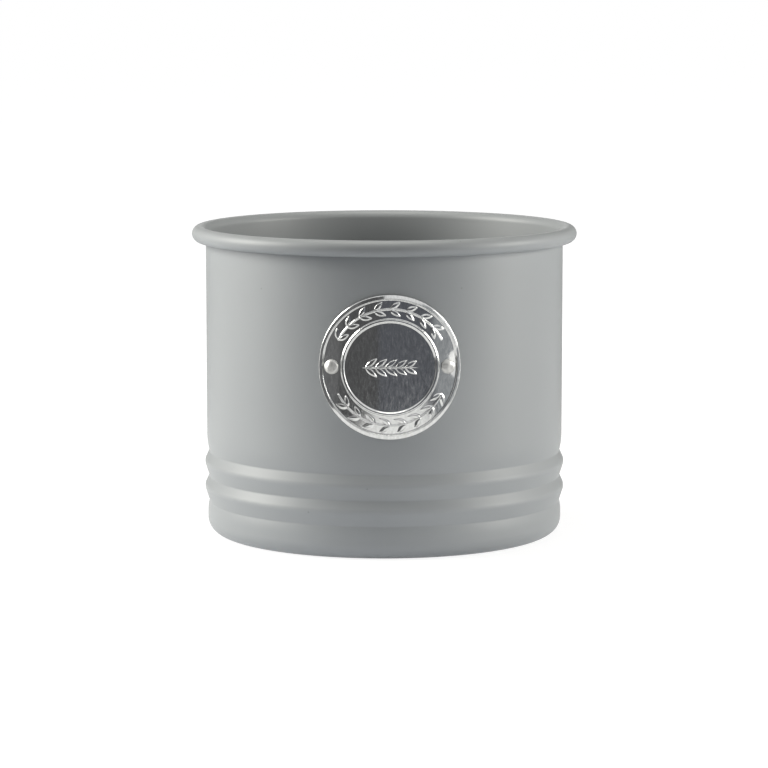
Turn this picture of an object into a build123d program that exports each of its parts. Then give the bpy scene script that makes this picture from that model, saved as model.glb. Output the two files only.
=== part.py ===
from build123d import *
import os
from math import acos, cos, degrees, radians, sin, sqrt, tan

# Indoor herb planter: a round pot drawn from one steel sheet, with a rolled rim, two
# beads above the foot and a stamped badge held by two rivets.
# Millimetres, +Z up. The origin is on the pot's axis, on the plane that it stands on,
# and the badge faces -Y.

# Pot
body_radius = 65.0  # outside of the straight wall
pot_height = 112.5  # from the floor to the top of the rim
sheet = 0.7  # steel sheet with its paint
rim_diameter = 5.72  # across the rolled rim
rim_gap = 0.3  # between the tucked-in edge of the roll and the wall
foot_radius = 5.65  # outside of the rounded bottom edge
foot_run = 2.1  # upright wall between the bottom edge and the lower neck
foot_inset = 0.26  # how far that wall stands in from the straight wall
foot_ring = 10.0  # width of the flat ring that the pot stands on
base_lift = 2.0  # how far the base panel is pressed up
base_slope = 45.0  # degrees, of the step round the base panel
base_bend = 1.6  # rounding of that step, on the inside face

# Beads rolled into the wall, each a crest between two valleys
bead_count = 2
bead_pitch = 9.08
lower_flank = 17.9  # degrees from the upright, of a bead's lower side
upper_flank = 24.2  # degrees from the upright, of its upper side
crest_radius = 3.05  # outside
valley_radius = 1.0  # outside
valley_depth = 0.7  # below the straight wall
neck_angle = 12.8  # degrees, where the straight wall bends in to a valley
neck_run = 0.2  # least straight part of the neck

# Badge, stamped from thin sheet and curved to the wall
badge_diameter = 50.6  # measured along the wall
badge_sheet = 0.5
badge_below_middle = 3.43  # its centre, under the middle of the straight wall
border_width = 1.9
border_rise = 0.6
band_width = 6.2  # flat band between the border and the inner ring
ring_width = 1.65
ring_rise = 0.5
stamping_radius = 0.4  # rounding of the border and the ring
seat_gap = 0.05  # between pieces that are pressed together

# Rivets, half hollow, with a domed head outside and a rolled tail inside
rivet_margin = 0.5  # from the head to the border and the ring
head_height = 1.5
head_edge = 0.35  # upright edge under the dome
shank_diameter = 3.0
shank_gap = 0.1  # round the shank in its holes
tail_lip = 0.8  # how far the tail spreads past the shank
tail_height = 1.0
tail_round = 0.35
bore_diameter = 1.8
bore_depth = 1.3

inside_radius = body_radius - sheet
roll_radius = rim_diameter / 2
roll_centre_z = pot_height - roll_radius

# The beads and the necks are set out as sharp corners that are rounded afterwards.
low_side = radians(lower_flank)
high_side = radians(upper_flank)
neck = radians(neck_angle)
foot_inside = inside_radius - foot_inset
valley_inside = valley_radius + sheet
corner_share = cos((high_side - low_side) / 2) / cos((high_side + low_side) / 2) - 1
valley_corner = inside_radius - valley_depth - valley_inside * corner_share
bead_rise = bead_pitch / (1 / tan(low_side) + 1 / tan(high_side))
crest_corner = valley_corner + bead_rise
crest_up = bead_rise / tan(low_side)


def neck_sizes(wall):
    """Height, tangent and bend of the neck from a wall of that inside radius to a valley."""
    run = (wall - valley_corner) / sin(neck)
    tangent = run - neck_run - valley_inside * tan((high_side + neck) / 2)
    return run * cos(neck), tangent, tangent / tan(neck / 2)


foot_neck_rise, foot_neck_tangent, foot_neck_bend = neck_sizes(foot_inside)
wall_neck_rise, wall_neck_tangent, wall_neck_bend = neck_sizes(inside_radius)
low_valley_z = foot_radius + foot_run + foot_neck_tangent + foot_neck_rise
high_valley_z = low_valley_z + bead_count * bead_pitch
straight_low = high_valley_z + wall_neck_rise + wall_neck_tangent
straight_high = pot_height - rim_diameter

badge_radius = badge_diameter / 2
badge_centre_z = (straight_low + straight_high) / 2 - badge_below_middle
badge_back = body_radius + seat_gap
badge_face = badge_back + badge_sheet
band_outer = badge_radius - border_width
ring_outer = band_outer - band_width
ring_inner = ring_outer - ring_width
rivet_offset = (band_outer + ring_outer) / 2
rivet_angle = degrees(rivet_offset / body_radius)
head_radius = band_width / 2 - rivet_margin
shank_radius = shank_diameter / 2
tail_radius = shank_radius + tail_lip


def wall_line():
    """The pot's inside face from its axis up to the start of the roll, as (r, z)."""
    panel_z = base_lift + sheet
    step_outer = foot_inside + sheet - foot_radius - foot_ring
    step_inner = step_outer - base_lift / tan(radians(base_slope))
    corners = [(0, panel_z), (step_inner, panel_z), (step_outer, sheet), (foot_inside, sheet)]
    bends = [base_bend, base_bend + sheet, foot_radius - sheet]
    corners += [(foot_inside, low_valley_z - foot_neck_rise), (valley_corner, low_valley_z)]
    bends += [foot_neck_bend, valley_inside]
    for bead in range(bead_count):
        valley_z = low_valley_z + bead * bead_pitch
        corners += [(crest_corner, valley_z + crest_up), (valley_corner, valley_z + bead_pitch)]
        bends += [crest_radius - sheet, valley_inside]
    corners += [(inside_radius, high_valley_z + wall_neck_rise), (inside_radius, roll_centre_z)]
    bends += [wall_neck_bend]
    return FilletPolyline(*corners, radius=bends)


def roll_lines():
    """Both faces of the rim's roll, turned outwards until its edge almost meets the wall."""
    tuck = degrees(acos((rim_gap + sheet - roll_radius) / roll_radius))
    centre = (inside_radius + roll_radius, roll_centre_z)
    outer = CenterArc(centre, roll_radius, -tuck, 180 + tuck)
    inner = CenterArc(centre, roll_radius - sheet, -tuck, 180 + tuck)
    return [outer, inner, Line(outer @ 0, inner @ 0)]


def rivet_places():
    """Where each rivet's axis meets the pot's axis: its local +Z points out through the wall."""
    places = {}
    for side, angle in (("left", -rivet_angle), ("right", rivet_angle)):
        outward = (sin(radians(angle)), -cos(radians(angle)), 0)
        places[side] = Plane((0, 0, badge_centre_z), x_dir=(0, 0, 1), z_dir=outward)
    return places


def rivet_hole():
    """A round hole for the shank, from the pot's axis out past the badge."""
    reach = badge_face + border_rise
    return Cylinder(shank_radius + shank_gap, reach, align=(Align.CENTER, Align.CENTER, Align.MIN))


def pot_shell():
    """One sheet: base, foot, beads, wall and rolled rim, turned about the axis."""
    inside = wall_line()
    outside = inside.offset_2d(sheet, side=Side.RIGHT, closed=False)
    on_axis = Line((0, base_lift), (0, base_lift + sheet))
    section = make_face([*inside.edges(), *outside.edges(), on_axis, *roll_lines()])
    shell = revolve(Plane.XZ * section, Axis.Z)
    for place in rivet_places().values():
        shell -= place * rivet_hole()
    return shell


def badge_outline(radius):
    """A disc of that radius laid on the wall, as it looks from the front."""
    return Ellipse(body_radius * sin(radius / body_radius), radius)


def on_wall(outline, low, high):
    """A layer of the wall's curve between two radii, cut to an outline seen from the front."""
    front = Plane((0, 0, badge_centre_z), x_dir=(1, 0, 0), z_dir=(0, -1, 0))
    layer = Cylinder(high, pot_height) - Cylinder(low, pot_height)
    return extrude(front * outline, 2 * high) & Pos(0, 0, badge_centre_z) * layer


def raised_ring(outer, inner, rise):
    """A ring stamped up from the badge, rounded on top and hollow behind."""
    top = badge_face + rise
    ring = on_wall(badge_outline(outer) - badge_outline(inner), badge_back, top)
    on_top = [edge for edge in ring.edges() if sqrt((edge @ 0).X ** 2 + (edge @ 0).Y ** 2) > top - rise / 2]
    ring = fillet(on_top, stamping_radius)
    hollow = badge_outline(outer - badge_sheet) - badge_outline(inner + badge_sheet)
    return ring, on_wall(hollow, badge_back, badge_back + rise)


def badge_plate():
    """Disc with a raised border and an inner ring, and two holes for the rivets."""
    plate = on_wall(badge_outline(badge_radius), badge_back, badge_face)
    border, border_hollow = raised_ring(badge_radius, band_outer, border_rise)
    ring, ring_hollow = raised_ring(ring_outer, ring_inner, ring_rise)
    plate = plate + border + ring - border_hollow - ring_hollow
    for place in rivet_places().values():
        plate -= place * rivet_hole()
    return plate


def rivet():
    """Domed head, shank through the badge and the wall, and a tail rolled over inside."""
    head_z = badge_face + seat_gap
    tail_z = sqrt(inside_radius**2 - tail_radius**2) - seat_gap
    dome_rise = head_height - head_edge
    dome_radius = (head_radius**2 + dome_rise**2) / (2 * dome_rise)
    end_z = tail_z - tail_height
    bore_radius = bore_diameter / 2
    outline = [
        Line((0, head_z + head_height), (0, end_z + bore_depth)),
        Line((0, end_z + bore_depth), (bore_radius, end_z + bore_depth)),
        Line((bore_radius, end_z + bore_depth), (bore_radius, end_z)),
        FilletPolyline(
            (bore_radius, end_z),
            (tail_radius, end_z),
            (tail_radius, tail_z),
            (shank_radius, tail_z),
            radius=[tail_round, tail_round],
        ),
        Polyline(
            (shank_radius, tail_z),
            (shank_radius, head_z),
            (head_radius, head_z),
            (head_radius, head_z + head_edge),
        ),
        RadiusArc((head_radius, head_z + head_edge), (0, head_z + head_height), -dome_radius),
    ]
    edges = [edge for line in outline for edge in line.edges()]
    return revolve(Plane.XZ * make_face(edges), Axis.Z)


def main():
    os.makedirs("parts", exist_ok=True)
    pieces = {"pot_shell": pot_shell(), "badge_plate": badge_plate()}
    for side, place in rivet_places().items():
        pieces[f"badge_rivet_{side}"] = place * rivet()
    for name, piece in pieces.items():
        export_step(piece, f"parts/{name}.step")


main()
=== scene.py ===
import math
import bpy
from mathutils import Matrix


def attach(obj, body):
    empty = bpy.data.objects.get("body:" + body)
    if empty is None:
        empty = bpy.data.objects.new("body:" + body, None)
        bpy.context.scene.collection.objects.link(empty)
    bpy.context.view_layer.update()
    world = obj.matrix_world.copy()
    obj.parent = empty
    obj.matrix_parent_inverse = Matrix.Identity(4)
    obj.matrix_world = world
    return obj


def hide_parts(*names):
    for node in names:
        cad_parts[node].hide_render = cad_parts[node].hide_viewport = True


bl_info = {
    "name": "Indoor herb planter",
    "version": (1, 0, 0),
    "blender": (4, 5, 0),
    "location": "View3D > Sidebar > Herb planter",
    "description": "Powder-coated pot, stamped badge, rivets and studio for the packed herb planter",
    "category": "Object",
}

import bmesh
import bpy
import numpy as np
from bpy.props import FloatProperty, FloatVectorProperty, IntProperty, PointerProperty
from bpy.types import Operator, Panel, PropertyGroup
from mathutils import Matrix, Vector, noise

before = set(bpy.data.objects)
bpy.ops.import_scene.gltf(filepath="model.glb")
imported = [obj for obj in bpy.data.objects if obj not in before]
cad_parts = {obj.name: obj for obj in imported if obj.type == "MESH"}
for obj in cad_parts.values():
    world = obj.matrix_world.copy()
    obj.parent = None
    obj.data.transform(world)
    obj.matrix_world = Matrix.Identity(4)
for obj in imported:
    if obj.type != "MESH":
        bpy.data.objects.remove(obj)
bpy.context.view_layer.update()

MM = 0.001
TOUCH = 1e-7  # points nearer to each other than this are one point

# Fineness of the meshes
POT_SEGMENTS = 192
RIVET_SEGMENTS = 48
DRILL_SEGMENTS = 32
BADGE_SPOKES = 500
BADGE_RINGS = 180
BACK_RINGS = 8
ARC_STEP = math.radians(4)
ROLL_STEP = math.radians(6)
RUN_STEP = 4 * MM
TAIL_STEPS = 6
DOME_STEPS = 12
ROOM_STEPS = 24

# Border of the badge, in shares of its width
BORDER_OUTER_SIDE = 0.2  # slope at its outer edge
BORDER_INNER_SIDE = 0.25  # slope at its inner edge
BORDER_FALL_START = 0.8  # from the outer edge, where its crown starts to fall back

# Pull beside a rivet
PULL_LIFT = 1.4 * MM  # its middle, over the rivet's
PULL_HALF_HEIGHT = 4.6 * MM
PULL_END = 4  # power: how sharply it ends above and below
PULL_AT_RIVET = 0.24  # its share at the rivet's axis
PULL_GROWTH = 1.6  # power: how it grows from there to the border

# Stamped beads and leaves
BEAD_SLOPE = 0.75  # part of a bead's half width that slopes
LEAF_SLOPE = 0.3 * MM  # width of a leaf's sloping side
LEAF_FULLNESS = 0.8  # power: under 1, a leaf is fuller near its base

# Garland in the band
LEAF_LEAN = 0.62  # run of a leaf to the side for each run ahead
LEAF_START = 0.25 * MM  # from the stem's middle
STEM_WIDTH = 0.7 * MM

# Sprig on the disc, with pairs of leaves along a twig
SPRIG_PAIRS = 5
SPRIG_START = -8.5 * MM  # first pair, from the middle of the disc
SPRIG_STEP = 3.4 * MM
SPRIG_LEAF_AHEAD = 4.2 * MM
SPRIG_LEAF_ASIDE = 3.4 * MM
SPRIG_LEAF_LOSS = 0.25 * MM  # how much less far aside each next pair reaches
SPRIG_LEAF_WIDTH = 1.7 * MM
TWIG_REACH = 10 * MM
TWIG_WIDTH = 0.8 * MM

# Heads of the rivets
DOME_FULLNESS = 0.8  # power: under 1, a dome is fuller than a round one
DENT_START = 1.0 * MM  # over the wall
DENT_SHIFT = {"left": Vector((7, 0, 0)), "right": Vector((0, 0, 0))}  # so that the dents differ

# Where the sides of the room begin and end, from straight in front
ROOM_TURNS = [math.radians(turn) for turn in (-60, -33, -5, 32, 50)]
# Where its far sides begin and end, behind the pot, to the left and to the right
FAR_TURNS = [math.radians(turn) for turn in (138, 174)]

# The stage, in metres
FLOOR_REACH = 30.0
ROOM_LIFT = 0.002  # of the room's floor over the paper
AIM_HEIGHT = 0.06  # of the point that the lamps are aimed at
# Each softbox's width and height, and its place
KEY_SOFTBOX = ((0.6, 0.62), (-0.91, 0.0, 0.47))
FILL_SOFTBOX = ((0.5, 0.5), (0.945, -0.21, 0.32))
TOP_SOFTBOX = ((0.6, 0.4), (0.0, 0.0, 1.2))


def to_linear(hex_colour):
    """An sRGB hex colour as linear red, green and blue with full alpha."""
    shares = [int(hex_colour[at : at + 2], 16) / 255 for at in (0, 2, 4)]
    linear = [share / 12.92 if share <= 0.04045 else ((share + 0.055) / 1.055) ** 2.4 for share in shares]
    return (*linear, 1.0)


WHITE = to_linear("FFFFFF")


def length(name, description, millimetres):
    """A size of the planter, written in millimetres."""
    size = millimetres * MM
    return FloatProperty(name=name, description=description, default=size, unit="LENGTH", precision=5)


def stage_length(name, description, metres):
    """A size of the stage, written in metres."""
    return FloatProperty(name=name, description=description, default=metres, unit="LENGTH")


def angle(name, description, degrees):
    """An angle, written in degrees."""
    turn = math.radians(degrees)
    return FloatProperty(name=name, description=description, default=turn, unit="ROTATION")


def colour(name, description, hex_colour):
    """A colour, written as an sRGB hex value."""
    linear = to_linear(hex_colour)
    return FloatVectorProperty(name=name, description=description, default=linear, subtype="COLOR", size=4)


def power(name, description, watts):
    """The power of a lamp."""
    return FloatProperty(name=name, description=description, default=watts, unit="POWER")


class PotSettings(PropertyGroup):
    """Sizes and colour of the painted pot."""

    wall_radius: length("Wall radius", "Outside of the straight wall", 65.0)
    height: length("Height", "From the floor to the top of the rim", 112.5)
    sheet: length("Sheet", "Thickness of the painted steel", 0.7)
    rim: length("Rim", "Across the rolled rim", 5.72)
    rim_gap: length("Rim gap", "Between the tucked-in edge of the roll and the wall", 0.3)
    foot_radius: length("Foot radius", "Outside of the rounded bottom edge", 5.65)
    foot_run: length("Foot run", "Upright wall over the bottom edge", 2.1)
    foot_inset: length("Foot inset", "How far that wall stands in from the straight wall", 0.26)
    foot_ring: length("Foot ring", "Width of the ring that the pot stands on", 10.0)
    base_lift: length("Base lift", "How far the base panel is pressed up", 2.0)
    base_bend: length("Base bend", "Rounding of the step round the base panel", 1.6)
    beads: IntProperty(name="Beads", description="Number of beads above the foot", default=2, min=1)
    bead_pitch: length("Bead pitch", "From one bead to the next", 9.08)
    lower_flank: angle("Lower flank", "Slope of a bead's lower side from the upright", 17.9)
    upper_flank: angle("Upper flank", "Slope of a bead's upper side from the upright", 24.2)
    crest_radius: length("Crest radius", "Outside rounding of a bead", 3.05)
    valley_radius: length("Valley radius", "Outside rounding between beads", 1.0)
    valley_depth: length("Valley depth", "Depth of the valleys in the wall", 0.7)
    neck_angle: angle("Neck angle", "Slope from the wall in to a valley", 12.8)
    neck_run: length("Neck run", "Least straight part of the neck", 0.2)
    paint: colour("Paint", "Colour of the powder coat", "8F9294")


class BadgeSettings(PropertyGroup):
    """Sizes and colour of the stamped badge."""

    diameter: length("Diameter", "Across the badge, along the wall", 50.6)
    sheet: length("Sheet", "Thickness of the badge", 0.5)
    centre_height: length("Centre height", "Height of the badge's centre", 68.287)
    seat_gap: length("Seat gap", "Between pieces that are pressed together", 0.05)
    border_width: length("Border width", "Width of the raised border", 1.9)
    border_rise: length("Border rise", "Height of the raised border", 0.6)
    border_lean: length("Border lean", "How far its crown falls back at the top and the bottom", 0.4)
    band_width: length("Band width", "Band between border and ring", 6.2)
    ring_width: length("Ring width", "Width of the raised ring", 1.65)
    ring_rise: length("Ring rise", "Height of the raised ring", 0.5)
    dish: length("Dish", "How far the band falls from the ring to the border", 0.3)
    pull: length("Pull", "How far the rivets pull the band's outer side in", 0.38)
    garland: IntProperty(name="Garland", description="Pairs of leaves in each half", default=8, min=1)
    garland_step: angle("Garland step", "From one pair of leaves to the next", 15.5)
    leaf_length: length("Leaf length", "Length of a leaf in the band", 4.3)
    leaf_width: length("Leaf width", "Width of a leaf in the band", 1.6)
    leaf_rise: length("Leaf rise", "Height of the stamped leaves", 0.35)
    metal: colour("Metal", "Colour of the bright steel", "D6D7D6")


class RivetSettings(PropertyGroup):
    """Sizes and colour of the two rivets."""

    margin: length("Margin", "From the head to the border and the ring", 0.5)
    head_height: length("Head height", "Height of the domed head", 1.5)
    head_edge: length("Head edge", "Upright edge under the dome", 0.35)
    head_chamfer: length("Head chamfer", "Chamfer under that edge", 0.1)
    shank: length("Shank", "Diameter of the shank", 3.0)
    shank_gap: length("Shank gap", "Gap round the shank in its holes", 0.1)
    tail_lip: length("Tail lip", "How far the tail spreads past the shank", 0.8)
    tail_height: length("Tail height", "Height of the rolled tail", 1.0)
    tail_round: length("Tail round", "Height of the tail's rounded end", 0.35)
    bore: length("Bore", "Diameter of the hollow in the tail", 1.8)
    bore_depth: length("Bore depth", "Depth of the hollow in the tail", 1.3)
    dent_size: length("Dent size", "From one dent in a head to the next", 1.5)
    dent_depth: length("Dent depth", "Depth of the dents", 0.22)
    metal: colour("Metal", "Colour of the dull aluminium", "BFBFBD")


class StageSettings(PropertyGroup):
    """Camera, floor and light."""

    camera_distance: stage_length("Camera distance", "From the pot's axis, level", 1.1901)
    camera_height: stage_length("Camera height", "Over the floor", 0.2110)
    camera_pitch: angle("Camera pitch", "How far the camera looks down", 7.52)
    camera_turn: angle("Camera turn", "How far the camera stands to the badge's right", -1.76)
    camera_aim: angle("Camera aim", "How far the camera looks past the pot's axis", 0.006)
    lens: FloatProperty(
        name="Lens", description="Focal length in millimetres on a 36 mm sensor", default=153.43
    )
    floor: colour("Floor", "Colour of the paper on the floor", "F0F3FA")
    # The paper's faint glow onto the pot, a painted bounce light.
    paper_light: FloatProperty(
        name="Paper light", description="Strength of the light that comes up off the paper", default=0.1
    )
    # The room's sides glow with these tones, standing in for its light and shade: painted reflections, and
    # a faint glow onto the pot.
    dim_room: colour("Dim room", "Tone of the room at its left", "79797A")
    unlit_room: colour("Unlit room", "Tone of the room in front and behind", "5F5F60")
    low_room: colour("Low room", "Tone of the room under the bright ceiling", "65676D")
    half_lit_room: colour("Half-lit room", "Tone of the room at its right", "A6A9AC")
    room_reach: stage_length("Room reach", "From the pot's axis", 2.0)
    room_height: stage_length("Room height", "Over the floor, at the left and behind", 2.0)
    low_height: stage_length("Low height", "Over the floor, at the right", 0.9)
    table_left: stage_length("Table left", "Reach of the paper at its left", 0.14)
    table_corner: stage_length("Table corner", "Reach of the paper's corner", 0.35)
    table_right: stage_length("Table right", "Reach of the paper at its right", 0.2)
    corner_turn: angle("Corner turn", "Where the paper's corner is", 15.0)
    far_paper: stage_length("Far paper", "Reach of the paper behind the pot", 0.3)
    lamp_tint: colour("Lamp tint", "Colour of the softboxes", "FFFDF6")
    key_power: power("Key", "Power of the left softbox", 15.0)
    fill_power: power("Fill", "Power of the right softbox", 9.2)
    top_power: power("Top", "Power of the overhead softbox", 5.6)


class PlanterSettings(PropertyGroup):
    """Everything that can be set on the planter and its studio."""

    pot: PointerProperty(type=PotSettings)
    badge: PointerProperty(type=BadgeSettings)
    rivets: PointerProperty(type=RivetSettings)
    stage: PointerProperty(type=StageSettings)


def add_node(tree, kind, settings=None, inputs=None):
    """Adds a node, sets its properties, and sets or links each of its inputs."""
    node = tree.nodes.new(kind)
    for name, value in (settings or {}).items():
        setattr(node, name, value)
    for name, value in (inputs or {}).items():
        if isinstance(value, bpy.types.NodeSocket):
            tree.links.new(value, node.inputs[name])
        else:
            node.inputs[name].default_value = value
    return node


def new_material(name):
    """An empty material with its output node."""
    material = bpy.data.materials.new(name)
    material.use_nodes = True
    material.node_tree.nodes.clear()
    return material, material.node_tree, add_node(material.node_tree, "ShaderNodeOutputMaterial")


def darker(tone, share):
    """A share of a colour's light, with full alpha."""
    return [level * share for level in tone[:3]] + [1.0]


def powder_coat(paint):
    """Polyester powder coat, baked on steel sheet."""
    # It gives the eye a satin grey with soft, wide reflections, a faint skin like orange
    # peel about 1.5 mm across, a tone that drifts slightly over the wall, and a few specks
    # of dust under 1 mm, caught in the coat.
    material, tree, output = new_material("satin_powder_coat")
    place = add_node(tree, "ShaderNodeTexCoord").outputs["Object"]
    drift = add_node(
        tree,
        "ShaderNodeTexNoise",
        inputs={"Vector": place, "Scale": 1 / (45 * MM), "Detail": 3.0, "Roughness": 0.5},
    )
    # Inputs 6 and 7 and output 2 of this node are its colours.
    tone = add_node(
        tree,
        "ShaderNodeMix",
        {"data_type": "RGBA"},
        {"Factor": drift.outputs["Fac"], 6: darker(paint, 0.94), 7: paint},
    )
    peel = add_node(
        tree,
        "ShaderNodeTexNoise",
        inputs={"Vector": place, "Scale": 1 / (1.5 * MM), "Detail": 2.0, "Roughness": 0.45},
    )
    gloss = add_node(
        tree,
        "ShaderNodeMapRange",
        inputs={
            "Value": drift.outputs["Fac"],
            "From Min": 0.3,
            "From Max": 0.7,
            "To Min": 0.43,
            "To Max": 0.49,
        },
    )
    dust = add_node(tree, "ShaderNodeTexVoronoi", inputs={"Vector": place, "Scale": 1 / (14 * MM)})
    speck = add_node(
        tree,
        "ShaderNodeMapRange",
        inputs={
            "Value": dust.outputs["Distance"],
            "From Min": 0.016,
            "From Max": 0.03,
            "To Min": 0.8,
            "To Max": 1.0,
        },
    )
    specked = add_node(
        tree,
        "ShaderNodeVectorMath",
        {"operation": "SCALE"},
        {0: tone.outputs[2], "Scale": speck.outputs["Result"]},
    )
    bump = add_node(
        tree,
        "ShaderNodeBump",
        inputs={"Height": peel.outputs["Fac"], "Strength": 0.25, "Distance": 0.02 * MM},
    )
    coat = add_node(
        tree,
        "ShaderNodeBsdfPrincipled",
        inputs={
            "Base Color": specked.outputs[0],
            "Roughness": gloss.outputs["Result"],
            "IOR": 1.43,
            "Normal": bump.outputs["Normal"],
        },
    )
    tree.links.new(coat.outputs["BSDF"], output.inputs["Surface"])
    return material


def bright_steel(metal):
    """Stainless steel, rolled, stamped and polished."""
    # It gives the eye sharp bright edges on the raised rings and leaves, dark flats that
    # mirror the room, and short upright rolling streaks. Real streaks are finer: they are
    # drawn about 0.7 mm apart so that they show.
    material, tree, output = new_material("polished_stamped_steel")
    place = add_node(tree, "ShaderNodeTexCoord").outputs["Object"]
    along = add_node(tree, "ShaderNodeMapping", inputs={"Vector": place, "Scale": (1.0, 1.0, 0.3)})
    rolling = add_node(
        tree,
        "ShaderNodeTexNoise",
        inputs={
            "Vector": along.outputs["Vector"],
            "Scale": 1 / (0.7 * MM),
            "Detail": 3.0,
            "Roughness": 0.65,
        },
    )
    streak = add_node(
        tree,
        "ShaderNodeMapRange",
        inputs={"Value": rolling.outputs["Fac"], "From Min": 0.35, "From Max": 0.65},
    )
    gloss = add_node(
        tree,
        "ShaderNodeMapRange",
        inputs={"Value": streak.outputs["Result"], "To Min": 0.09, "To Max": 0.16},
    )
    bump = add_node(
        tree,
        "ShaderNodeBump",
        inputs={"Height": rolling.outputs["Fac"], "Strength": 0.2, "Distance": 0.0009 * MM},
    )
    # Inputs 6 and 7 and output 2 of this node are its colours.
    tone = add_node(
        tree,
        "ShaderNodeMix",
        {"data_type": "RGBA"},
        {"Factor": streak.outputs["Result"], 6: darker(metal, 0.82), 7: metal},
    )
    steel = add_node(
        tree,
        "ShaderNodeBsdfPrincipled",
        inputs={
            "Base Color": tone.outputs[2],
            "Metallic": 1.0,
            "Roughness": gloss.outputs["Result"],
            "Normal": bump.outputs["Normal"],
        },
    )
    tree.links.new(steel.outputs["BSDF"], output.inputs["Surface"])
    return material


def dull_aluminium(metal):
    """Soft aluminium wire, headed cold."""
    # It gives the eye a pale grey dome with a broad soft highlight and small press marks
    # about 0.9 mm across.
    material, tree, output = new_material("headed_aluminium")
    place = add_node(tree, "ShaderNodeTexCoord").outputs["Object"]
    marks = add_node(
        tree,
        "ShaderNodeTexNoise",
        inputs={"Vector": place, "Scale": 1 / (0.9 * MM), "Detail": 3.0, "Roughness": 0.55},
    )
    gloss = add_node(
        tree,
        "ShaderNodeMapRange",
        inputs={
            "Value": marks.outputs["Fac"],
            "From Min": 0.3,
            "From Max": 0.7,
            "To Min": 0.45,
            "To Max": 0.58,
        },
    )
    bump = add_node(
        tree,
        "ShaderNodeBump",
        inputs={"Height": marks.outputs["Fac"], "Strength": 0.5, "Distance": 0.05 * MM},
    )
    aluminium = add_node(
        tree,
        "ShaderNodeBsdfPrincipled",
        inputs={
            "Base Color": metal,
            "Metallic": 1.0,
            "Roughness": gloss.outputs["Result"],
            "Normal": bump.outputs["Normal"],
        },
    )
    tree.links.new(aluminium.outputs["BSDF"], output.inputs["Surface"])
    return material


def bent_line(corners, bends):
    """Points along a bent sheet, each with the direction of its right-hand side."""
    line = []

    def add_run(start, end):
        direction = (end - start).normalized()
        side = Vector((direction.y, -direction.x))
        parts = max(1, math.ceil((end - start).length / RUN_STEP))
        for part in range(parts + 1):
            point = start.lerp(end, part / parts)
            if not line or (line[-1][0] - point).length > TOUCH:
                line.append((point, side))

    corners = [Vector(corner) for corner in corners]
    start = corners[0]
    for before, corner, after, bend in zip(corners, corners[1:], corners[2:], bends):
        enter = (corner - before).normalized()
        leave = (after - corner).normalized()
        turn = math.atan2(enter.x * leave.y - enter.y * leave.x, enter.dot(leave))
        tangent = bend * math.tan(abs(turn) / 2)
        add_run(start, corner - enter * tangent)
        left = Vector((-enter.y, enter.x)) * math.copysign(1, turn)
        centre = corner - enter * tangent + left * bend
        parts = max(2, math.ceil(abs(turn) / ARC_STEP))
        for part in range(1, parts + 1):
            spin = Matrix.Rotation(turn * part / parts, 2)
            heading = spin @ enter
            line.append((centre - spin @ left * bend, Vector((heading.y, -heading.x))))
        start = corner + leave * tangent
    add_run(start, corners[-1])
    return line


def pot_outline(pot):
    """Both faces of the pot's sheet as one closed outline of radius and height."""
    inside = pot.wall_radius - pot.sheet
    roll = pot.rim / 2
    roll_height = pot.height - roll
    foot = inside - pot.foot_inset
    valley_bend = pot.valley_radius + pot.sheet
    half_sum = (pot.upper_flank + pot.lower_flank) / 2
    half_difference = (pot.upper_flank - pot.lower_flank) / 2
    corner_share = math.cos(half_difference) / math.cos(half_sum) - 1
    valley = inside - pot.valley_depth - valley_bend * corner_share
    bead_rise = pot.bead_pitch / (1 / math.tan(pot.lower_flank) + 1 / math.tan(pot.upper_flank))
    crest_up = bead_rise / math.tan(pot.lower_flank)

    def neck_sizes(wall):
        run = (wall - valley) / math.sin(pot.neck_angle)
        tangent = run - pot.neck_run - valley_bend * math.tan((pot.upper_flank + pot.neck_angle) / 2)
        return run * math.cos(pot.neck_angle), tangent, tangent / math.tan(pot.neck_angle / 2)

    foot_neck_rise, foot_neck_tangent, foot_neck_bend = neck_sizes(foot)
    wall_neck_rise, _, wall_neck_bend = neck_sizes(inside)
    low = pot.foot_radius + pot.foot_run + foot_neck_tangent + foot_neck_rise
    high = low + pot.beads * pot.bead_pitch
    panel = pot.base_lift + pot.sheet
    step = foot + pot.sheet - pot.foot_radius - pot.foot_ring
    corners = [(0, panel), (step - pot.base_lift, panel), (step, pot.sheet), (foot, pot.sheet)]
    bends = [pot.base_bend, pot.base_bend + pot.sheet, pot.foot_radius - pot.sheet]
    corners += [(foot, low - foot_neck_rise), (valley, low)]
    bends += [foot_neck_bend, valley_bend]
    for bead in range(pot.beads):
        under = low + bead * pot.bead_pitch
        corners += [(valley + bead_rise, under + crest_up), (valley, under + pot.bead_pitch)]
        bends += [pot.crest_radius - pot.sheet, valley_bend]
    corners += [(inside, high + wall_neck_rise), (inside, roll_height)]
    bends += [wall_neck_bend]
    line = bent_line(corners, bends)
    centre = Vector((inside + roll, roll_height))
    turn = math.pi + math.acos((pot.rim_gap + pot.sheet - roll) / roll)
    parts = math.ceil(turn / ROLL_STEP)
    for part in range(1, parts + 1):
        around = math.pi - turn * part / parts
        outward = Vector((math.cos(around), math.sin(around)))
        line.append((centre + outward * roll, -outward))
    one_face = [point for point, side in line]
    other_face = [point + side * pot.sheet for point, side in reversed(line)]
    return one_face + other_face


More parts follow.
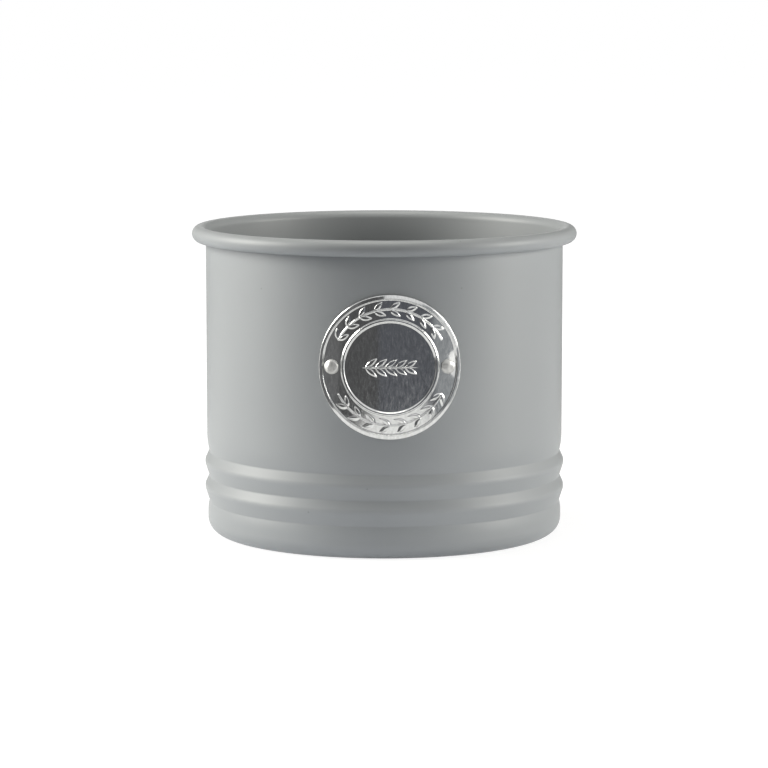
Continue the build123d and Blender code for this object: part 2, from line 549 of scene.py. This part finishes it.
def turned_mesh(name, outline, segments):
    """A closed outline of radius and height turned about +Z."""
    build = bmesh.new()
    turns = [math.tau * step / segments for step in range(segments)]
    rings = []
    for radius, height in outline:
        if radius < TOUCH:
            rings.append([build.verts.new((0, 0, height))] * segments)
        else:
            places = [(radius * math.cos(turn), radius * math.sin(turn), height) for turn in turns]
            rings.append([build.verts.new(place) for place in places])
    for ring, after in zip(rings, rings[1:] + rings[:1]):
        for at in range(segments):
            to = (at + 1) % segments
            corners = list(dict.fromkeys((ring[at], ring[to], after[to], after[at])))
            if len(corners) > 2:
                build.faces.new(corners).smooth = True
    bmesh.ops.recalc_face_normals(build, faces=build.faces)
    mesh = bpy.data.meshes.new(name)
    build.to_mesh(mesh)
    build.free()
    return mesh


def add_piece(name, mesh, material, node):
    """Shows a mesh in place of a node of the frame."""
    mesh.materials.clear()
    mesh.materials.append(material)
    piece = bpy.data.objects.new(name, mesh)
    bpy.context.scene.collection.objects.link(piece)
    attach(piece, "root")
    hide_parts(node)


def rivet_places(badge, wall_radius):
    """Where each rivet's axis leaves the pot's axis: local +Z points out through the wall."""
    band_outer = badge.diameter / 2 - badge.border_width
    turn = (band_outer - badge.band_width / 2) / wall_radius
    upward = Vector((0, 0, 1))
    places = {}
    for side, around in (("left", -turn), ("right", turn)):
        outward = Vector((math.sin(around), -math.cos(around), 0))
        axes = Matrix((upward, outward.cross(upward), outward)).transposed()
        places[side] = Matrix.Translation((0, 0, badge.centre_height)) @ axes.to_4x4()
    return places


def bore_holes(mesh, settings):
    """Cuts the two rivet holes through a mesh."""
    radius = settings.rivets.shank / 2 + settings.rivets.shank_gap
    wall = settings.pot.wall_radius
    start = 0.9 * wall
    end = 1.1 * wall
    outline = [(0, start), (radius, start), (radius, end), (0, end)]
    target = bpy.data.objects.new("bored", mesh)
    bpy.context.scene.collection.objects.link(target)
    drills = []
    for place in rivet_places(settings.badge, wall).values():
        drill = bpy.data.objects.new("drill", turned_mesh("drill", outline, DRILL_SEGMENTS))
        drill.matrix_world = place
        bpy.context.scene.collection.objects.link(drill)
        cut = target.modifiers.new("hole", "BOOLEAN")
        cut.object = drill
        cut.operation = "DIFFERENCE"
        cut.solver = "EXACT"
        drills.append(drill)
    bpy.context.view_layer.update()
    depsgraph = bpy.context.evaluated_depsgraph_get()
    bored = bpy.data.meshes.new_from_object(target.evaluated_get(depsgraph))
    bored.name = mesh.name
    for helper in (target, *drills):
        bpy.data.objects.remove(helper)
    return bored


def rise_between(low, high, values):
    """A soft step from 0 at low to 1 at high."""
    share = np.clip((values - low) / (high - low), 0, 1)
    return share * share * (3 - 2 * share)


def raised_bead(distance, centre, width, rise):
    """A stamped bead: a flat crown with rounded sides."""
    return rise * rise_between(0.0, BEAD_SLOPE, 1 - np.abs(distance - centre) / (width / 2))


def raised_border(distance, up, badge):
    """The stamped border: a broad crown that leans back at the top and the bottom."""
    share = (badge.diameter / 2 - distance) / badge.border_width
    fall = np.clip((BORDER_FALL_START - share) / (BORDER_FALL_START - BORDER_OUTER_SIDE), 0, 1)
    crown = badge.border_rise - badge.border_lean * np.abs(2 * up / badge.diameter) * fall
    outer_side = rise_between(0.0, BORDER_OUTER_SIDE, share)
    inner_side = rise_between(0.0, BORDER_INNER_SIDE, 1 - share)
    return crown * outer_side * inner_side


def raised_leaf(across, up, base, tip, width, rise):
    """A stamped leaf from base to tip, with a flat top and steep sides."""
    direction = Vector(tip) - Vector(base)
    reach = direction.length
    ahead = direction / reach
    along = ((across - base[0]) * ahead.x + (up - base[1]) * ahead.y) / reach
    aside = (up - base[1]) * ahead.x - (across - base[0]) * ahead.y
    half = width / 2 * np.sin(np.pi * np.clip(along, 0, 1) ** LEAF_FULLNESS)
    return rise * rise_between(0.0, LEAF_SLOPE, half - np.abs(aside))


def garland_relief(across, up, badge, middle):
    """Leaves in pairs on a stem along the middle of the band, in its upper and lower half."""
    distance = np.hypot(across, up)
    half_arc = badge.garland * badge.garland_step / 2
    stem = raised_bead(distance, middle, STEM_WIDTH, badge.leaf_rise)
    leaves = np.zeros_like(distance)
    for centre_turn in (math.pi / 2, math.pi * 3 / 2):
        for pair in range(badge.garland):
            turn = centre_turn + half_arc - pair * badge.garland_step
            outward = Vector((math.cos(turn), math.sin(turn)))
            ahead = Vector((outward.y, -outward.x))
            for side in (1, -1):
                reach = (ahead + side * LEAF_LEAN * outward).normalized() * badge.leaf_length
                base = outward * (middle + side * LEAF_START)
                leaf = raised_leaf(across, up, base, base + reach, badge.leaf_width, badge.leaf_rise)
                leaves = np.maximum(leaves, leaf)
        from_centre = np.abs(np.angle(np.exp(1j * (np.arctan2(up, across) - centre_turn))))
        leaves = np.maximum(leaves, np.where(from_centre < half_arc, stem, 0))
    return leaves


def sprig_relief(across, up, rise):
    """A twig across the disc with leaves in pairs."""
    sprig = raised_leaf(across, up, (-TWIG_REACH, 0.0), (TWIG_REACH, 0.0), TWIG_WIDTH, rise)
    for pair in range(SPRIG_PAIRS):
        base = SPRIG_START + SPRIG_STEP * pair
        aside = SPRIG_LEAF_ASIDE - SPRIG_LEAF_LOSS * pair
        for side in (1, -1):
            tip = (base + SPRIG_LEAF_AHEAD, side * aside)
            leaf = raised_leaf(across, up, (base, 0.0), tip, SPRIG_LEAF_WIDTH, rise)
            sprig = np.maximum(sprig, leaf)
    return sprig


def badge_relief(across, up, badge):
    """Height of the badge's face over its flat, for points measured along the wall."""
    distance = np.hypot(across, up)
    band_outer = badge.diameter / 2 - badge.border_width
    ring_outer = band_outer - badge.band_width
    middle = (band_outer + ring_outer) / 2
    height = badge.dish * np.clip((band_outer - distance) / badge.band_width, 0, 1)
    beside_rivet = np.exp(-(((up - PULL_LIFT) / PULL_HALF_HEIGHT) ** PULL_END))
    outward = (np.abs(across) - middle) / (band_outer - middle)
    past_rivet = np.clip(outward * (1 - PULL_AT_RIVET) + PULL_AT_RIVET, 0, 1)
    height -= badge.pull * beside_rivet * past_rivet**PULL_GROWTH
    height += raised_border(distance, up, badge)
    height += raised_bead(distance, ring_outer - badge.ring_width / 2, badge.ring_width, badge.ring_rise)
    garland = garland_relief(across, up, badge, middle)
    return height + np.maximum(garland, sprig_relief(across, up, badge.leaf_rise))


def badge_mesh(badge, wall_radius):
    """The badge's face, edge and back, wrapped on the wall."""
    radius = badge.diameter / 2
    around = np.linspace(0, math.tau, BADGE_SPOKES, endpoint=False)
    face_reach = np.linspace(radius / BADGE_RINGS, radius, BADGE_RINGS)
    back_reach = np.linspace(radius, radius / BACK_RINGS, BACK_RINGS)
    back = wall_radius + badge.seat_gap
    face = back + badge.sheet

    def wrapped(reach, level, stamped):
        across = np.outer(reach, np.cos(around))
        up = np.outer(reach, np.sin(around))
        out = level + badge_relief(across, up, badge) if stamped else level
        turn = across / wall_radius
        places = (out * np.sin(turn), -out * np.cos(turn), badge.centre_height + up)
        return np.stack(places, axis=-1).reshape(-1, 3)

    face_middle = face + badge_relief(np.zeros(1), np.zeros(1), badge)[0]
    middles = [(0, -face_middle, badge.centre_height), (0, -back, badge.centre_height)]
    points = np.concatenate([wrapped(face_reach, face, True), wrapped(back_reach, back, False), middles])
    rings = BADGE_RINGS + BACK_RINGS
    faces = []
    for ring in range(rings - 1):
        low = ring * BADGE_SPOKES
        high = low + BADGE_SPOKES
        for at in range(BADGE_SPOKES):
            to = (at + 1) % BADGE_SPOKES
            faces.append((low + at, high + at, high + to, low + to))
    front_centre = rings * BADGE_SPOKES
    back_centre = front_centre + 1
    last = (rings - 1) * BADGE_SPOKES
    for at in range(BADGE_SPOKES):
        to = (at + 1) % BADGE_SPOKES
        faces.append((front_centre, at, to))
        faces.append((back_centre, last + to, last + at))
    mesh = bpy.data.meshes.new("badge")
    mesh.from_pydata(points.tolist(), [], faces)
    mesh.shade_smooth()
    return mesh


def rivet_outline(settings):
    """Domed head, shank and rolled hollow tail as radius and height."""
    badge = settings.badge
    rivets = settings.rivets
    wall = settings.pot.wall_radius
    head = badge.band_width / 2 - rivets.margin
    under_head = wall + badge.seat_gap + badge.sheet + badge.seat_gap
    shank = rivets.shank / 2
    tail = shank + rivets.tail_lip
    tail_top = math.sqrt((wall - settings.pot.sheet) ** 2 - tail**2) - badge.seat_gap
    tail_end = tail_top - rivets.tail_height
    bore = rivets.bore / 2
    bore_end = tail_end + rivets.bore_depth
    outline = [Vector((0, bore_end)), Vector((bore, bore_end))]
    tail_middle = Vector(((bore + tail) / 2, tail_end + rivets.tail_round))
    for part in range(TAIL_STEPS + 1):
        turn = math.pi * (1 - part / TAIL_STEPS)
        out = (tail - bore) / 2 * math.cos(turn)
        outline.append(tail_middle + Vector((out, -rivets.tail_round * math.sin(turn))))
    outline += [Vector((tail, tail_top)), Vector((shank, tail_top)), Vector((shank, under_head))]
    outline.append(Vector((head - rivets.head_chamfer, under_head)))
    outline.append(Vector((head, under_head + rivets.head_chamfer)))
    dome = rivets.head_height - rivets.head_edge
    for part in range(DOME_STEPS + 1):
        turn = math.pi / 2 * part / DOME_STEPS
        out = head * math.cos(turn) ** DOME_FULLNESS
        outline.append(Vector((out, under_head + rivets.head_edge + dome * math.sin(turn))))
    return outline


class PLANTER_OT_add_pot(Operator):
    """Add the powder-coated pot"""

    bl_idname = "planter.add_pot"
    bl_label = "Add pot"

    def execute(self, context):
        settings = context.scene.herb_planter
        mesh = turned_mesh("pot", pot_outline(settings.pot), POT_SEGMENTS)
        material = powder_coat(settings.pot.paint)
        add_piece("pot", bore_holes(mesh, settings), material, "pot_shell")
        return {"FINISHED"}


class PLANTER_OT_add_badge(Operator):
    """Add the stamped badge"""

    bl_idname = "planter.add_badge"
    bl_label = "Add badge"

    def execute(self, context):
        settings = context.scene.herb_planter
        mesh = badge_mesh(settings.badge, settings.pot.wall_radius)
        material = bright_steel(settings.badge.metal)
        add_piece("badge", bore_holes(mesh, settings), material, "badge_plate")
        return {"FINISHED"}


class PLANTER_OT_add_rivets(Operator):
    """Add the two rivets of the badge"""

    bl_idname = "planter.add_rivets"
    bl_label = "Add rivets"

    def execute(self, context):
        settings = context.scene.herb_planter
        rivets = settings.rivets
        material = dull_aluminium(rivets.metal)
        dents_over = settings.pot.wall_radius + DENT_START
        for side, place in rivet_places(settings.badge, settings.pot.wall_radius).items():
            mesh = turned_mesh(f"rivet_{side}", rivet_outline(settings), RIVET_SEGMENTS)
            for vertex in mesh.vertices:
                if vertex.co.z > dents_over:
                    dent = noise.noise(vertex.co / rivets.dent_size + DENT_SHIFT[side])
                    vertex.co.z += rivets.dent_depth * dent
            mesh.transform(place)
            add_piece(f"rivet_{side}", mesh, material, f"badge_rivet_{side}")
        return {"FINISHED"}


def seen_rays(tree):
    """1 for rays of the camera, of reflections and through glass, 0 for rays that carry light."""
    path = add_node(tree, "ShaderNodeLightPath")
    seen = path.outputs["Is Camera Ray"]
    for kind in ("Is Glossy Ray", "Is Transmission Ray"):
        either = add_node(
            tree, "ShaderNodeMath", {"operation": "MAXIMUM"}, {0: seen, 1: path.outputs[kind]}
        )
        seen = either.outputs[0]
    return seen


def studio_paper(pale, paper_light):
    """White paper that keeps the pot's shadow, with a painted shade beside the pot."""
    # The eye sees white paper whose glow is painted a little dimmer beside the pot, a painted shade in
    # which the real shadow shows.
    # The pot's lower parts get a little light back from the paper's diffuse side and from a faint painted
    # glow.
    material, tree, output = new_material("white_paper_floor")
    place = add_node(tree, "ShaderNodeTexCoord").outputs["Object"]
    reach = add_node(tree, "ShaderNodeVectorMath", {"operation": "LENGTH"}, {0: place})
    # Painted shade: the glow that the eye sees is 0.85 out to 100 mm from the pot's axis and rises to full
    # by 600 mm, whatever the light, so that the real shadow shows in it.
    level = add_node(
        tree,
        "ShaderNodeMapRange",
        inputs={
            "Value": reach.outputs["Value"],
            "From Min": 100 * MM,
            "From Max": 600 * MM,
            "To Min": 0.85,
            "To Max": 1.0,
        },
    )
    paper = add_node(tree, "ShaderNodeBsdfDiffuse", inputs={"Color": pale})
    # The paper glows faintly onto the pot as a painted bounce light, though it is no lamp.
    painted_bounce_glow = add_node(tree, "ShaderNodeEmission", inputs={"Color": pale, "Strength": paper_light})
    lighting = add_node(tree, "ShaderNodeAddShader", inputs={0: paper.outputs[0], 1: painted_bounce_glow.outputs[0]})
    shadow = add_node(tree, "ShaderNodeBsdfDiffuse", inputs={"Color": to_linear("898989")})
    glow = add_node(
        tree, "ShaderNodeEmission", inputs={"Color": WHITE, "Strength": level.outputs["Result"]}
    )
    sight = add_node(tree, "ShaderNodeAddShader", inputs={0: shadow.outputs[0], 1: glow.outputs[0]})
    both = add_node(
        tree,
        "ShaderNodeMixShader",
        inputs={0: seen_rays(tree), 1: lighting.outputs[0], 2: sight.outputs[0]},
    )
    tree.links.new(both.outputs[0], output.inputs["Surface"])
    return material


def add_floor(stage):
    """The paper that the pot stands on."""
    signs = ((-1, -1), (1, -1), (1, 1), (-1, 1))
    corners = [(x * FLOOR_REACH, y * FLOOR_REACH, 0) for x, y in signs]
    mesh = bpy.data.meshes.new("floor")
    mesh.from_pydata(corners, [], [(0, 1, 2, 3)])
    mesh.materials.append(studio_paper(stage.floor, stage.paper_light))
    floor = bpy.data.objects.new("floor", mesh)
    bpy.context.scene.collection.objects.link(floor)


def paper_edge(stage, turn):
    """How far the paper reaches from the pot's axis before the room begins."""
    if abs(turn) > math.pi / 2:
        return stage.far_paper
    turns = (ROOM_TURNS[0], stage.corner_turn, ROOM_TURNS[-1])
    return float(np.interp(turn, turns, (stage.table_left, stage.table_corner, stage.table_right)))


def add_room_side(name, stage, left, right, height, tone):
    """A glowing grey sheet for a side of the room beyond the paper, which the camera never sees."""
    points = []
    for step in range(ROOM_STEPS + 1):
        turn = left + (right - left) * step / ROOM_STEPS
        far = stage.room_reach
        bends = ((paper_edge(stage, turn), ROOM_LIFT), (far, ROOM_LIFT), (far, height))
        points += [(reach * math.sin(turn), -reach * math.cos(turn), level) for reach, level in bends]
    faces = []
    for step in range(ROOM_STEPS):
        for bend in range(len(bends) - 1):
            low = step * len(bends) + bend
            faces.append((low, low + 1, low + 1 + len(bends), low + len(bends)))
    mesh = bpy.data.meshes.new(name)
    mesh.from_pydata(points, [], faces)
    # It glows with a plain grey tone standing in for the room's light and shade: a painted reflection in
    # the badge and faintly in the coat, and, where it is not hidden from rays that carry light, a faint
    # glow onto the pot.
    material, tree, output = new_material(name)
    glow = add_node(tree, "ShaderNodeEmission", inputs={"Color": tone})
    tree.links.new(glow.outputs[0], output.inputs["Surface"])
    mesh.materials.append(material)
    side = bpy.data.objects.new(name, mesh)
    bpy.context.scene.collection.objects.link(side)
    side.visible_camera = False
    side.visible_shadow = False
    return side


def add_room(stage):
    """Glowing grey sheets for the room that the badge mirrors, and for its far sides, whose painted
    reflection darkens the pot's outline.
    """
    sides = (
        ("dim_room", stage.room_height, stage.dim_room),
        ("unlit_room", stage.room_height, stage.unlit_room),
        ("low_room", stage.low_height, stage.low_room),
        ("half_lit_room", stage.low_height, stage.half_lit_room),
    )
    for (name, height, tone), left, right in zip(sides, ROOM_TURNS, ROOM_TURNS[1:]):
        add_room_side(name, stage, left, right, height, tone)
    start, end = FAR_TURNS
    for name, left, right in (("far_left_room", -end, -start), ("far_right_room", start, end)):
        side = add_room_side(name, stage, left, right, stage.room_height, stage.unlit_room)
        # The far sides show in reflections alone.
        side.visible_diffuse = False


def add_softbox(name, size, place, watts, tint):
    """A rectangular soft light aimed at the pot."""
    light = bpy.data.lights.new(name, "AREA")
    light.shape = "RECTANGLE"
    light.size, light.size_y = size
    light.energy = watts
    light.color = tint[:3]
    softbox = bpy.data.objects.new(name, light)
    softbox.location = place
    aim = Vector((0, 0, AIM_HEIGHT)) - Vector(place)
    softbox.rotation_euler = aim.to_track_quat("-Z", "Y").to_euler()
    softbox.visible_camera = False
    bpy.context.scene.collection.objects.link(softbox)


def add_sky(scene):
    """A white world that is seen and mirrored, and gives no light."""
    world = bpy.data.worlds.new("studio")
    world.use_nodes = True
    tree = world.node_tree
    tree.nodes.clear()
    sky = add_node(tree, "ShaderNodeBackground", inputs={"Color": WHITE, "Strength": seen_rays(tree)})
    add_node(tree, "ShaderNodeOutputWorld", inputs={"Surface": sky.outputs[0]})
    scene.world = world


def add_camera(scene, stage):
    """A camera at the photograph's viewing angle."""
    camera_data = bpy.data.cameras.new("camera")
    camera_data.sensor_width = 36.0
    camera_data.lens = stage.lens
    camera_data.clip_start = 0.05
    camera_data.clip_end = 100.0
    camera = bpy.data.objects.new("camera", camera_data)
    camera.location = (
        stage.camera_distance * math.sin(stage.camera_turn),
        -stage.camera_distance * math.cos(stage.camera_turn),
        stage.camera_height,
    )
    camera.rotation_euler = (math.pi / 2 - stage.camera_pitch, 0, stage.camera_turn + stage.camera_aim)
    scene.collection.objects.link(camera)
    scene.camera = camera


class PLANTER_OT_add_stage(Operator):
    """Add the floor, the room, the lights and the camera"""

    bl_idname = "planter.add_stage"
    bl_label = "Add stage"

    def execute(self, context):
        scene = context.scene
        stage = scene.herb_planter.stage
        add_floor(stage)
        add_room(stage)
        add_softbox("key_softbox", *KEY_SOFTBOX, stage.key_power, stage.lamp_tint)
        add_softbox("fill_softbox", *FILL_SOFTBOX, stage.fill_power, stage.lamp_tint)
        add_softbox("top_softbox", *TOP_SOFTBOX, stage.top_power, stage.lamp_tint)
        add_sky(scene)
        add_camera(scene, stage)
        scene.view_settings.view_transform = "Standard"
        return {"FINISHED"}


OPERATORS = {
    "stage": PLANTER_OT_add_stage,
    "pot": PLANTER_OT_add_pot,
    "badge": PLANTER_OT_add_badge,
    "rivets": PLANTER_OT_add_rivets,
}


class PLANTER_PT_panel(Panel):
    """Buttons and settings for the planter's pieces and stage"""

    bl_idname = "PLANTER_PT_panel"
    bl_label = "Herb planter"
    bl_space_type = "VIEW_3D"
    bl_region_type = "UI"
    bl_category = "Herb planter"

    def draw(self, context):
        for name, operator in OPERATORS.items():
            group = getattr(context.scene.herb_planter, name)
            box = self.layout.box()
            box.operator(operator.bl_idname)
            for setting in type(group).__annotations__:
                box.prop(group, setting)


CLASSES = (
    PotSettings,
    BadgeSettings,
    RivetSettings,
    StageSettings,
    PlanterSettings,
    *OPERATORS.values(),
    PLANTER_PT_panel,
)


def register():
    for item in CLASSES:
        bpy.utils.register_class(item)
    bpy.types.Scene.herb_planter = PointerProperty(type=PlanterSettings)


def unregister():
    del bpy.types.Scene.herb_planter
    for item in reversed(CLASSES):
        bpy.utils.unregister_class(item)


def main():
    register()
    bpy.ops.planter.add_stage()
    bpy.ops.planter.add_pot()
    bpy.ops.planter.add_badge()
    bpy.ops.planter.add_rivets()


if __name__ == "__main__":
    main()
